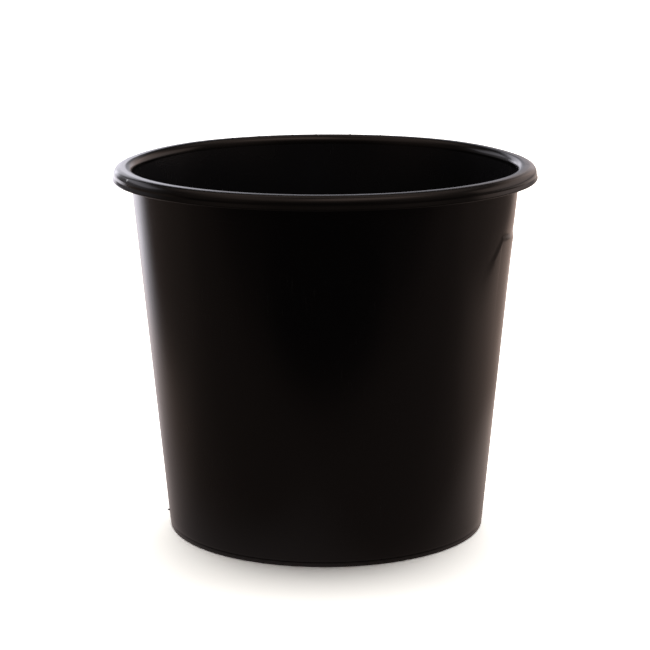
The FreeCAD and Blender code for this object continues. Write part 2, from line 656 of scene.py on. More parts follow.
class SkinEffects:
    """The effects that every finish of the plastic shares, each a node group made once."""

    PEEL = Grains(150, 1.5)
    FLOW = Grains((260, 260, 9))
    FINE = Grains(2600, 2.0, 0.6)
    PATCHES = Grains(17, 3.0, 0.5, 0.35, 0.68)
    HAIRS = Grains((950, 950, 14), 2.0, 0.6, 0.60, 0.72)
    HAIR_PATCHES = Grains(22, 2.0, 0.5, 0.48, 0.66)
    RUBS = Grains((24, 24, 1500), 2.0, 0.6, 0.61, 0.74)
    RUB_PATCHES = Grains((16, 16, 60), 2.0, 0.5, 0.53, 0.68)
    DUST_CLOUDS = Grains(34, 4.0, 0.6, 0.3, 0.75, least=0.35)
    DUST_SPECKS = Grains(900, 1.0, 0.5, 0.66, 0.74)
    WORN_STRETCHES = Grains(120, 4.0, 0.65, 0.42, 0.66)
    SETTLING = (0.35, 0.98)

    def __init__(self) -> None:
        """Makes the groups."""
        self.grain = self._grain()
        self.scuffs = self._scuffs()
        self.dust = self._dust()
        self.edge_wear = self._edge_wear()

    def _grain(self) -> bpy.types.NodeTree:
        """The moulded skin: a soft orange peel, flow lines drawn up the wall and a fine tool grain.

        Returns:
            The group, with a Height in parts of a millimetre and a Patches value from 0 to 1.
        """
        graph, given, result = new_group(
            "moulded_grain", {"Peel": 0.0, "Flow": 0.0, "Fine": 0.0}, ("Height", "Patches"))
        place = graph.node("ShaderNodeTexCoord").outputs["Object"]
        height: Value = 0.0
        for socket, grains in (("Peel", self.PEEL), ("Flow", self.FLOW), ("Fine", self.FINE)):
            height = graph.sum("MULTIPLY_ADD", graph.speckle(place, grains), given.outputs[socket], height)
        graph.tree.links.new(height, result.inputs["Height"])
        graph.tree.links.new(graph.speckle(place, self.PATCHES), result.inputs["Patches"])
        return graph.tree

    def _scuffs(self) -> bpy.types.NodeTree:
        """Fine handling marks: hair scratches drawn up the wall by stacking, and short rubs round it.

        Returns:
            The group, with a Mask from 0 to 1.
        """
        graph, given, result = new_group("handling_scuffs", {"Drawn": 0.0, "Rubbed": 0.0}, ("Mask",))
        place = graph.node("ShaderNodeTexCoord").outputs["Object"]
        marks = []
        for socket, lines, patches in (("Drawn", self.HAIRS, self.HAIR_PATCHES),
                                       ("Rubbed", self.RUBS, self.RUB_PATCHES)):
            mark = graph.sum("MULTIPLY", graph.speckle(place, lines), graph.speckle(place, patches))
            marks.append(graph.sum("MULTIPLY", mark, given.outputs[socket]))
        graph.tree.links.new(graph.sum("ADD", *marks, clamp=True), result.inputs["Mask"])
        return graph.tree

    def _dust(self) -> bpy.types.NodeTree:
        """A thin film of dust that settles on what faces up.

        Returns:
            The group, with a Mask from 0 to 1.
        """
        graph, given, result = new_group("dust_film", {"Amount": 0.0}, ("Mask",))
        place = graph.node("ShaderNodeTexCoord").outputs["Object"]
        normal = graph.node("ShaderNodeNewGeometry").outputs["Normal"]
        level = graph.node("ShaderNodeSeparateXYZ", {0: normal}).outputs[2]
        clouds = graph.speckle(place, self.DUST_CLOUDS)
        spread = graph.sum("ADD", clouds, graph.speckle(place, self.DUST_SPECKS))
        film = graph.sum("MULTIPLY", graph.ease(level, *self.SETTLING), spread)
        mask = graph.sum("MULTIPLY", film, given.outputs["Amount"], clamp=True)
        graph.tree.links.new(mask, result.inputs["Mask"])
        return graph.tree

    def _edge_wear(self) -> bpy.types.NodeTree:
        """Edges rubbed dull and pale, in broken stretches.

        Returns:
            The group, with a Mask from 0 to 1.
        """
        graph, given, result = new_group("edge_wear", {"Edge": 0.0, "Amount": 0.0}, ("Mask",))
        place = graph.node("ShaderNodeTexCoord").outputs["Object"]
        broken = graph.sum("MULTIPLY", graph.speckle(place, self.WORN_STRETCHES), given.outputs["Edge"])
        graph.tree.links.new(graph.sum("MULTIPLY", broken, given.outputs["Amount"]), result.inputs["Mask"])
        return graph.tree


@dataclass(frozen=True)
class PlasticFinish:
    """One finish of the black plastic.

    Attributes:
        label: The material's name.
        colour: The plastic's own colour.
        gloss_loss: Roughness of the clean skin.
        patch_loss: How much duller the skin is in patches.
        peel: Depth of the orange peel, in millimetres.
        flow: Depth of the flow lines, in millimetres.
        fine: Depth of the tool grain, in millimetres.
        drawn: Strength of the scratches drawn up the wall.
        rubbed: Strength of the rubs round it.
        dust: Strength of the dust film.
        wear: Strength of the wear on edges.
        rings: Depth of the turning marks that the mould leaves in a flat face, in millimetres.
    """

    label: str
    colour: tuple[float, float, float] = (0.0046, 0.0043, 0.0042)
    gloss_loss: float = 0.17
    patch_loss: float = 0.05
    peel: float = 0.004
    flow: float = 0.0025
    fine: float = 0.0006
    drawn: float = 0.5
    rubbed: float = 0.35
    dust: float = 0.02
    wear: float = 0.35
    rings: float = 0.0

    SCUFF_COLOUR = (0.030, 0.029, 0.029, 1.0)
    SCUFF_COVER = 0.6
    SCUFF_DULLING = 0.16
    SCUFF_DEPTH = 0.0015
    DUST_COLOUR = (0.16, 0.155, 0.148, 1.0)
    DUST_DULLING = 0.5
    TURNING_MARKS = Grains(900, 3.0, 0.6)
    INDEX = 1.49

    def material(self, effects: SkinEffects) -> bpy.types.Material:
        """Makes the finish's material.

        Args:
            effects: The shared node groups.

        Returns:
            The material.
        """
        made = bpy.data.materials.new(self.label)
        made.use_nodes = True
        graph = Graph(made.node_tree)
        grain = graph.node("ShaderNodeGroup", {
            "Peel": self.peel, "Flow": self.flow, "Fine": self.fine}, node_tree=effects.grain)
        scuffs = graph.node("ShaderNodeGroup", {
            "Drawn": self.drawn, "Rubbed": self.rubbed}, node_tree=effects.scuffs)
        dust = graph.node("ShaderNodeGroup", {"Amount": self.dust}, node_tree=effects.dust).outputs["Mask"]
        edge = graph.node("ShaderNodeAttribute", attribute_name="wear").outputs["Fac"]
        wear = graph.node("ShaderNodeGroup", {
            "Edge": edge, "Amount": self.wear}, node_tree=effects.edge_wear)

        rubbed = graph.sum("ADD", scuffs.outputs["Mask"], wear.outputs["Mask"], clamp=True)
        cover = graph.sum("MULTIPLY", rubbed, self.SCUFF_COVER)
        colour = graph.blend(cover, (*self.colour, 1.0), self.SCUFF_COLOUR)
        colour = graph.blend(dust, colour, self.DUST_COLOUR)
        dull = graph.sum("MULTIPLY_ADD", grain.outputs["Patches"], self.patch_loss, self.gloss_loss)
        dull = graph.sum("MULTIPLY_ADD", rubbed, self.SCUFF_DULLING, dull)
        dull = graph.sum("MULTIPLY_ADD", dust, self.DUST_DULLING, dull, clamp=True)
        height = graph.sum("MULTIPLY_ADD", rubbed, -self.SCUFF_DEPTH, grain.outputs["Height"])
        if self.rings:
            height = graph.sum("MULTIPLY_ADD", self._turning_marks(graph), self.rings, height)
        bump = graph.node("ShaderNodeBump", {"Strength": 1.0, "Distance": MM, "Height": height})
        shader = graph.node("ShaderNodeBsdfPrincipled", {
            "Base Color": colour, "Roughness": dull, "IOR": self.INDEX, "Normal": bump.outputs["Normal"]})
        graph.node("ShaderNodeOutputMaterial", {"Surface": shader.outputs[0]})
        return made

    def _turning_marks(self, graph: Graph) -> bpy.types.NodeSocket:
        """Fine rings round the bucket's axis.

        Args:
            graph: The material's graph.

        Returns:
            Their height, from 0 to 1.
        """
        place = graph.node("ShaderNodeTexCoord").outputs["Object"]
        split = graph.node("ShaderNodeSeparateXYZ", {0: place})
        across = graph.sum("SQRT", graph.squares(split.outputs[0], split.outputs[1]))
        line = graph.node("ShaderNodeCombineXYZ", {0: across}).outputs[0]
        return graph.speckle(line, self.TURNING_MARKS)


class Finish(Enum):
    """The finishes that the moulding shows."""

    # The outside and the inside are the same plastic as the rim, but their colours are lighter than the rim's
    # to brighten them: painted light, strongest on the inside of the mouth.
    OUTSIDE = PlasticFinish("bucket_outside", colour=(0.0085, 0.0072, 0.0082))
    INSIDE = PlasticFinish("bucket_inside", colour=(0.0140, 0.0134, 0.0150), gloss_loss=0.24, peel=0.005,
                           drawn=0.3, rubbed=0.25, dust=0.05)
    RIM = PlasticFinish("bucket_rim", gloss_loss=0.16, peel=0.003, flow=0.0, drawn=0.15, rubbed=0.3, wear=0.2)
    FLOOR = PlasticFinish("bucket_floor", gloss_loss=0.27, drawn=0.3, rubbed=0.2, dust=0.10, rings=0.010)
    UNDERSIDE = PlasticFinish("bucket_underside", gloss_loss=0.34, fine=0.002, dust=0.0, rings=0.014)
    FOOT = PlasticFinish("bucket_foot", gloss_loss=0.26, fine=0.003, flow=0.0, drawn=0.2, rubbed=0.9,
                         wear=0.8)
    # A painted highlight: a small lump coloured near white to stand for a glint of light on the rim.
    GLINT = PlasticFinish("painted_glint", colour=(0.86, 0.85, 0.88), gloss_loss=0.55, drawn=0.0, rubbed=0.0,
                          wear=0.0)
    TORN = PlasticFinish("torn_plastic", gloss_loss=0.45, peel=0.02, fine=0.012, flow=0.0, drawn=0.0,
                         wear=0.6)


class Wardrobe:
    """Hands out each finish's material, made when it is first asked for."""

    def __init__(self) -> None:
        """Makes the shared effects."""
        self.effects = SkinEffects()
        self.made: dict[Finish, bpy.types.Material] = {}

    def material(self, finish: Finish) -> bpy.types.Material:
        """The material of a finish.

        Args:
            finish: Which finish.

        Returns:
            Its material.
        """
        if finish not in self.made:
            self.made[finish] = finish.value.material(self.effects)
        return self.made[finish]

    def dress(self, piece: bpy.types.Object, plain: Finish,
              sides: Mapping[Side, Finish] | None = None) -> None:
        """Gives a piece its materials.

        Args:
            piece: The piece.
            plain: The finish of every face that isn't named in sides.
            sides: The finish of the faces that look each way.
        """
        by_side = {side: (sides or {}).get(side, plain) for side in Side}
        order = list(dict.fromkeys(by_side.values()))
        for finish in order:
            piece.data.materials.append(self.material(finish))
        if len(order) > 1:
            for face in piece.data.polygons:
                face.material_index = order.index(by_side[side_of(face)])


# --------------------------------------------------------------------------------------------------
# The bucket's zones
# --------------------------------------------------------------------------------------------------


@dataclass
class Zone:
    """A sub-assembly of the bucket.

    Attributes:
        size: The bucket's driving sizes.
        form: How the wall departs from a true cone.
        turning: How sections are turned into meshes.
        pieces: What the zone has built, by name.
    """

    size: Measures
    form: WallForm
    turning: Turning
    pieces: dict[str, bpy.types.Object] = field(default_factory=dict, init=False)

    def keep(self, piece: bpy.types.Object, *stands_for: str) -> bpy.types.Object:
        """Fixes a piece to the bucket's body and logs it.

        Args:
            piece: The piece, in its place.
            stands_for: The frame's nodes that it stands for.

        Returns:
            The piece.
        """
        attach(piece, BODY)
        if stands_for:
            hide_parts(*stands_for)
        self.pieces[piece.name] = piece
        nodes = ", ".join(stands_for) or "itself"
        LOG.info("%s: %d faces, for %s", piece.name, len(piece.data.polygons), nodes)
        return piece


@dataclass
class Bottom(Zone):
    """The foot ring, the floor, the stub under it and the thickened foot of the wall.

    Attributes:
        thickness: The wall's thickness.
        foot_width: Width of the foot ring.
        foot_rounding: Rounding of the foot ring's two lower edges.
        groove: Height of the mould line's groove above the ground. Below it the face is upright.
        groove_height: How high the groove is.
        groove_depth: How far the groove goes in.
        groove_edge: Rounding of the groove's edges.
        cove_width: How far the inside corner reaches in over the floor.
        cove_height: How high the corner's slope would meet the wall.
        cove_rounding: Rounding between that slope and the wall.
        sink: How far the floor's underside is drawn up over the stub by shrinkage.
        sink_radius: How far from the axis that sink reaches.
        sink_rounding: Rounding at the sink's edge.
        stub_rounding: Rounding of the stub's lower edge.
        tear: How uneven the stub's torn end is.
        tear_scale: How many of its bumps fit in a metre.
        tear_falloff: How quickly its finer layers get weaker.
        tear_step: How much finer each layer is than the one before.
        tear_layers: How many layers it has.
        tear_limit: How far it goes upwards, as a share of how far it goes down.
        tear_rings: How many rings of points there are across it.
        torn_share: Share of the stub's height that the tear leaves as it is.
        sparse: Distance between rows where the floor is flat.
    """

    thickness: float = 1.6 * MM
    foot_width: float = 6 * MM
    foot_rounding: float = 0.7 * MM
    groove: float = 3.0 * MM
    groove_height: float = 0.55 * MM
    groove_depth: float = 0.7 * MM
    groove_edge: float = 0.12 * MM
    cove_width: float = 3.6 * MM
    cove_height: float = 1.7 * MM
    cove_rounding: float = 5 * MM
    sink: float = 0.35 * MM
    sink_radius: float = 11 * MM
    sink_rounding: float = 8 * MM
    stub_rounding: float = 0.4 * MM
    tear: float = 0.28 * MM
    tear_scale: float = 620
    tear_falloff: float = 0.7
    tear_step: float = 2.0
    tear_layers: int = 4
    tear_limit: float = 0.6
    tear_rings: int = 7
    torn_share: float = 0.5
    sparse: float = 8 * MM

    def build(self) -> None:
        """Builds the zone's four pieces."""
        self.keep(self._foot(), "foot_ring")
        self.keep(self._floor(), "floor_disc")
        self.keep(self._corner(), "corner_ring")
        self.keep(self._stub(), "gate_nub")

    def dress(self, wardrobe: Wardrobe) -> None:
        """Gives the pieces their finishes.

        Args:
            wardrobe: Where the finishes are kept.
        """
        wardrobe.dress(self.pieces["foot"], Finish.OUTSIDE,
                       {Side.DOWN: Finish.FOOT, Side.INWARD: Finish.UNDERSIDE})
        wardrobe.dress(self.pieces["floor"], Finish.OUTSIDE,
                       {Side.UP: Finish.FLOOR, Side.DOWN: Finish.UNDERSIDE})
        wardrobe.dress(self.pieces["inside_corner"], Finish.INSIDE, {Side.OUTWARD: Finish.OUTSIDE})
        wardrobe.dress(self.pieces["gate_stub"], Finish.UNDERSIDE, {Side.DOWN: Finish.TORN})

    def _foot(self) -> bpy.types.Object:
        """The foot ring, with an upright face.

        Returns:
            The piece.
        """
        size = self.size
        inner = size.base_radius - self.foot_width
        outer = size.base_radius
        rows = section([
            Corner(inner, 0, self.foot_rounding),
            Corner(outer, 0, self.foot_rounding),
            Corner(outer, size.foot_top),
            Corner(inner, size.foot_top),
        ])
        return self.turning.turn("foot", rows, self.form.shift, self.form.lift)

    def _floor(self) -> bpy.types.Object:
        """The floor: flat inside, sunk a little under its middle, with the mould line's groove at its edge.

        Returns:
            The piece.
        """
        size = self.size
        groove_top = self.groove + self.groove_height
        sunk = size.foot_top + self.sink
        rows = section([
            Corner(0, sunk),
            Corner(size.stub_radius, sunk, spacing=1 * MM),
            Corner(self.sink_radius, size.foot_top, self.sink_rounding, self.sparse),
            Corner(size.base_radius, size.foot_top),
            Corner(size.base_radius, self.groove, self.groove_edge),
            Corner(size.base_radius - self.groove_depth, self.groove, spacing=0.3 * MM),
            Corner(size.base_radius - self.groove_depth, groove_top),
            Corner(size.outside(groove_top), groove_top, self.groove_edge),
            Corner(size.outside(size.floor_top), size.floor_top, spacing=self.sparse),
            Corner(0, size.floor_top),
        ])
        return self.turning.turn("floor", rows, self.form.shift, self.form.lift)

    def _corner(self) -> bpy.types.Object:
        """The foot of the wall, thickened by the rounded inside corner.

        Returns:
            The piece.
        """
        size = self.size
        cove_top = size.floor_top + self.cove_height
        rows = section([
            Corner(size.outside(size.floor_top), size.floor_top, spacing=2 * MM),
            Corner(size.outside(size.wall_start), size.wall_start),
            Corner(size.inside(size.wall_start, self.thickness), size.wall_start, spacing=1 * MM),
            Corner(size.inside(cove_top, self.thickness), cove_top, self.cove_rounding, 1 * MM),
            Corner(size.inside(size.floor_top, self.thickness) - self.cove_width, size.floor_top),
        ])
        return self.turning.turn("inside_corner", rows, self.form.shift, self.form.lift)

    def _stub(self) -> bpy.types.Object:
        """The stub where the sprue was cut off, its end left torn.

        Returns:
            The piece.
        """
        size = self.size
        rows = section([
            Corner(0, size.stub_end),
            Corner(size.stub_radius, size.stub_end, self.stub_rounding, 0.5 * MM),
            Corner(size.stub_radius, size.foot_top + self.sink),
            Corner(0, size.foot_top + self.sink),
        ])
        even = Turning(coarse=7.5, fine=7.5, fine_from=0, fine_to=90)
        piece = even.turn("gate_stub", self._fill(rows), flat, flat)
        for point in piece.data.vertices:
            depth = (size.foot_top - point.co.z) / (size.foot_top - size.stub_end)
            share = (depth - self.torn_share) / (1 - self.torn_share)
            if share > 0:
                ragged = noise.fractal(
                    point.co * self.tear_scale, self.tear_falloff, self.tear_step, self.tear_layers)
                point.co.z += self.tear * max(-self.tear_limit, min(1.0, ragged)) * share
        return piece

    def _fill(self, rows: Sequence[Row]) -> list[Row]:
        """Adds rows across the stub's end, so that its tear has points to move.

        Args:
            rows: The stub's section, which starts on the axis.

        Returns:
            The section with rings across its lower end.
        """
        start, end = rows[0], rows[1]
        width = (end[0] - start[0]) / self.tear_rings
        across = [(start[0] + width * step, start[1], 0.0) for step in range(1, self.tear_rings)]
        return [start, *across, *rows[1:]]


def flat(azimuth: float, height: float) -> float:
    """No shift at all, for a piece that is stiff and true."""
    return 0.0


@dataclass
class Wall(Zone):
    """The tapered wall.

    Attributes:
        thickness: The wall's thickness.
        dint_margin: How far above and below the crease the rows are close together.
        spacing: Distance between rows elsewhere.
        close: Distance between rows across the crease.
        burr_height: Height of the burr near the wall's foot.
        burr_azimuth: Where the burr is round the wall, in radians.
        burr_length: How far the burr stands off the wall.
        burr_half_width: Half its width round the wall, at its root.
        burr_half_height: Half its height, at its root.
        burr_upturn: How far its end is turned up.
        burr_taper: How much narrower its end is than its root.
    """

    thickness: float = 1.6 * MM
    dint_margin: float = 16 * MM
    spacing: float = 4.5 * MM
    close: float = 0.9 * MM
    burr_height: float = 8.8 * MM
    burr_azimuth: float = math.radians(184)
    burr_length: float = 1.5 * MM
    burr_half_width: float = 0.7 * MM
    burr_half_height: float = 0.75 * MM
    burr_upturn: float = 0.4 * MM
    burr_taper: float = 0.45

    def build(self) -> None:
        """Builds the wall and its burr."""
        self.keep(self._shell(), "side_wall")
        self.keep(self._burr())

    def dress(self, wardrobe: Wardrobe) -> None:
        """Gives the pieces their finishes.

        Args:
            wardrobe: Where the finishes are kept.
        """
        wardrobe.dress(self.pieces["wall"], Finish.OUTSIDE, {Side.INWARD: Finish.INSIDE})
        wardrobe.dress(self.pieces["wall_burr"], Finish.TORN)

    def _shell(self) -> bpy.types.Object:
        """The wall, from the corner ring up to the rim.

        Returns:
            The piece.
        """
        size = self.size
        low = self.form.crease.height - self.dint_margin
        high = self.form.crease.height + self.dint_margin
        rows = section([
            Corner(size.inside(size.wall_start, self.thickness), size.wall_start),
            Corner(size.outside(size.wall_start), size.wall_start, spacing=self.spacing),
            Corner(size.outside(low), low, spacing=self.close),
            Corner(size.outside(high), high, spacing=self.spacing),
            Corner(size.outside(size.join), size.join),
            Corner(size.inside(size.join, self.thickness), size.join, spacing=self.spacing),
            Corner(size.inside(high, self.thickness), high, spacing=self.close),
            Corner(size.inside(low, self.thickness), low, spacing=self.spacing),
        ])
        return self.turning.turn("wall", rows, self.form.shift, self.form.lift)

    def _burr(self) -> bpy.types.Object:
        """A tag of plastic left on the wall near its foot.

        Returns:
            The piece.
        """
        turn = Matrix.Rotation(self.burr_azimuth, 4, "Z")
        place = turn @ Matrix.Translation((self.size.outside(self.burr_height), 0, self.burr_height))

        def move(point: Vector) -> Vector:
            """Draws the ball out into a tapered tag, turned up at its end.

            Args:
                point: A point of the ball.

            Returns:
                Where it goes.
            """
            out = max(0.0, point.x)
            taper = 1 - self.burr_taper * out
            across = point.y * self.burr_half_width * taper
            up = (point.z * self.burr_half_height + self.burr_upturn * out ** 2) * taper
            return place @ Vector((point.x * self.burr_length, across, up))

        return lump("wall_burr", move)


@dataclass
class Rim(Zone):
    """The rolled rim with its skirt, and the tags of flash along its crest.

    Attributes:
        wall_thickness: The wall's thickness, where the roll takes over from it.
        thickness: Thickness of the roll and the skirt.
        inner_rounding: Rounding from the wall's inner face to the crest.
        outer_rounding: Rounding from the crest to the skirt.
        channel_rounding: Roundings of the channel under the roll.
        bead_height: Height of the bead's upright edge, at the foot of the skirt.
        flare_height: How far above the bead the skirt starts to flare out to it.
        bead_rounding: Rounding of the bead's lower corner.
        flare_rounding: Rounding where the bead's edge meets the flare.
        bead_wander: How unevenly the bead's edge runs.
        wander_scale: How often it wanders round the rim.
        wander_place: Which of the many such wanderings it is.
        flash: Where the tags of flash stand, each its azimuth in degrees and its length round the rim.
        flash_height: How far they stand up.
        flash_half_width: Half their width across the rim.
        fleck_azimuth: Where a white fleck sits on the roll, in radians: a painted highlight, coloured near
            white to stand for a glint of light.
        fleck_drop: How far below the crest it sits.
        fleck_length: Its length round the rim.
        fleck_half_width: Half its width across the rim.
        fleck_half_thickness: Half its thickness.
        fleck_ragged: How uneven it is.
        fleck_scale: How many of its bumps fit in a metre.
        spacing: Distance between rows on the roll's outside and inside.
        channel_spacing: Distance between rows in the channel.
        roll_turn: Angle between rows round the roll's roundings.
        skirt_turn: Angle between rows round the skirt's roundings.
    """

    wall_thickness: float = 1.6 * MM
    thickness: float = 1.8 * MM
    inner_rounding: float = 5.0 * MM
    outer_rounding: float = 5.2 * MM
    channel_rounding: float = 3.4 * MM
    bead_height: float = 0.9 * MM
    flare_height: float = 3.2 * MM
    bead_rounding: float = 0.5 * MM
    flare_rounding: float = 1.2 * MM
    bead_wander: float = 0.06 * MM
    wander_scale: float = 9
    wander_place: float = 3.0
    flash: tuple[tuple[float, float], ...] = (
        (119.5, 1.4 * MM), (110.7, 2.3 * MM), (100.2, 2.0 * MM),
        (92.7, 1.2 * MM), (82.2, 1.7 * MM), (72.7, 1.3 * MM))
    flash_height: float = 0.34 * MM
    flash_half_width: float = 0.45 * MM
    fleck_azimuth: float = math.radians(205)
    fleck_drop: float = 2.4 * MM
    fleck_length: float = 3.0 * MM
    fleck_half_width: float = 0.9 * MM
    fleck_half_thickness: float = 0.45 * MM
    fleck_ragged: float = 0.05 * MM
    fleck_scale: float = 1500
    spacing: float = 0.8 * MM
    channel_spacing: float = 1.5 * MM
    roll_turn: float = math.radians(7)
    skirt_turn: float = math.radians(15)

    def build(self) -> None:
        """Builds the roll, the skirt, the flash and the fleck, which is a painted highlight."""
        self.keep(self._roll(), "rim_roll")
        self.keep(self._skirt(), "rim_skirt")
        for index, (azimuth, length) in enumerate(self.flash, start=1):
            self.keep(self._tag(f"rim_flash_{index}", math.radians(azimuth), length))
        self.keep(self._fleck())

    def dress(self, wardrobe: Wardrobe) -> None:
        """Gives the pieces their finishes.

        Args:
            wardrobe: Where the finishes are kept.
        """
        for name, piece in self.pieces.items():
            # The fleck is a painted highlight; every other piece is plain rim plastic.
            wardrobe.dress(piece, Finish.GLINT if name == "rim_glint" else Finish.RIM)

    def _skirt_inside(self) -> float:
        """Radius of the skirt's inner face."""
        return self.size.skirt_radius - self.thickness

    def _roll(self) -> bpy.types.Object:
        """The rounded top of the rim.

        Returns:
            The piece.
        """
        size = self.size
        under = size.crest - self.thickness
        mouth = size.inside(size.crest, self.wall_thickness)
        rows = section([
            Corner(size.skirt_radius, size.join, spacing=self.spacing),
            Corner(size.skirt_radius, size.crest, self.outer_rounding, self.spacing),
            Corner(mouth, size.crest, self.inner_rounding, self.spacing),
            Corner(size.inside(size.join, self.wall_thickness), size.join),
            Corner(size.outside(size.join), size.join, spacing=self.channel_spacing),
            Corner(size.outside(under), under, self.channel_rounding, self.channel_spacing),
            Corner(self._skirt_inside(), under, self.channel_rounding, self.channel_spacing),
            Corner(self._skirt_inside(), size.join),
        ], self.roll_turn)
        return self.turning.turn("rim", rows, self.form.shift, self.form.lift)

    def _skirt(self) -> bpy.types.Object:
        """The turned-down edge of the rim with its bead.

        Returns:
            The piece.
        """
        size = self.size
        bead_top = size.skirt_end + self.bead_height
        flare_top = min(bead_top + self.flare_height, size.join)
        rows = section([
            Corner(self._skirt_inside(), size.skirt_end, spacing=self.spacing),
            Corner(size.rim_radius, size.skirt_end, self.bead_rounding, 0.4 * MM),
            Corner(size.rim_radius, bead_top, self.flare_rounding, 0.3 * MM),
            Corner(size.skirt_radius, flare_top, spacing=0.5 * MM),
            Corner(size.skirt_radius, size.join),
            Corner(self._skirt_inside(), size.join),
        ], self.skirt_turn)

        def shift(azimuth: float, height: float) -> float:
            """The wall's form, and the bead's own wandering edge.

            Args:
                azimuth: Where round the rim, in radians.
                height: Height above the ground.

            Returns:
                How far the surface moves outwards.
            """
            scale = self.wander_scale
            place = Vector((scale * math.cos(azimuth), scale * math.sin(azimuth), self.wander_place))
            low = max(0.0, min(1.0, (flare_top - height) / self.flare_height))
            return self.form.shift(azimuth, height) + self.bead_wander * noise.noise(place) * low

        return self.turning.turn("rim_skirt_edge", rows, shift, self.form.lift)

    def _tag(self, name: str, azimuth: float, length: float) -> bpy.types.Object:
        """A low tag of flash on the crest.

        Args:
            name: The piece's name.
            azimuth: Where it stands round the rim, in radians.
            length: Its length round the rim.

        Returns:
            The piece.
        """
        size = self.size
        mouth = size.inside(size.crest, self.wall_thickness)
        flat_middle = (size.skirt_radius - self.outer_rounding + mouth + self.inner_rounding) / 2
        scale = Matrix.Diagonal((self.flash_half_width, length / 2, self.flash_height, 1.0))
        radius = flat_middle + self.form.shift(azimuth, size.crest)
        top = size.crest + self.form.lift(azimuth, size.crest)
        place = Matrix.Rotation(azimuth, 4, "Z") @ Matrix.Translation((radius, 0, top)) @ scale
        return lump(name, lambda point: place @ point)

    def _fleck(self) -> bpy.types.Object:
        """A thin white fleck on the outer shoulder of the roll: a painted highlight that stands for a glint
        of light.

        Returns:
            The piece.
        """
        size = self.size
        lean = math.acos(1 - self.fleck_drop / self.outer_rounding)
        radius = size.skirt_radius - self.outer_rounding * (1 - math.sin(lean))
        radius += self.form.shift(self.fleck_azimuth, size.crest)
        height = size.crest - self.fleck_drop + self.form.lift(self.fleck_azimuth, size.crest)
        half_length = self.fleck_length / 2
        scale = Matrix.Diagonal((self.fleck_half_width, half_length, self.fleck_half_thickness, 1.0))
        place = (Matrix.Rotation(self.fleck_azimuth, 4, "Z") @ Matrix.Translation((radius, 0, height))
                 @ Matrix.Rotation(lean, 4, "Y") @ scale)

        def move(point: Vector) -> Vector:
            """Flattens the ball into an uneven fleck.

            Args:
                point: A point of the ball.

            Returns:
                Where it goes.
            """
            laid = place @ point
            return laid + Vector((0, 0, self.fleck_ragged * noise.noise(laid * self.fleck_scale)))

        return lump("rim_glint", move)


# --------------------------------------------------------------------------------------------------
# The studio
# --------------------------------------------------------------------------------------------------


@dataclass(frozen=True)
class SoftBox:
    """A lit panel of the studio, as its reflections see it. Azimuth 0 is at the front and 90 to the right.

    Attributes:
        azimuth: Its middle, in degrees.
        half_width: Half its width, in degrees.
        side_feather: Over how many degrees its sides fade.
        low: Where its lower edge begins, in degrees above the horizon.
        high: Where its upper edge ends.
        feather: Over how many degrees its lower and upper edges fade.
        colour: Its colour.
        strength: How bright it is.
    """

    azimuth: float
    half_width: float
    side_feather: float
    low: float
    high: float
    feather: float
    colour: tuple[float, float, float]
    strength: float


@dataclass(frozen=True)
class Spot:
    """A place on the floor, as its shader sees it.

    Attributes:
        graph: The floor material's graph.
        right: How far to the right of the bucket's axis the place is.
        back: How far behind the axis.
    """

    graph: Graph
    right: bpy.types.NodeSocket
    back: bpy.types.NodeSocket


# The tints of cool and of warm light.
LAVENDER = (0.98, 0.96, 1.06)
WARM = (1.26, 0.94, 0.80)


def toned(colour: tuple[float, float, float], strength: float) -> tuple[float, float, float]:
    """A colour at a strength."""
    return tuple(part * strength for part in colour)


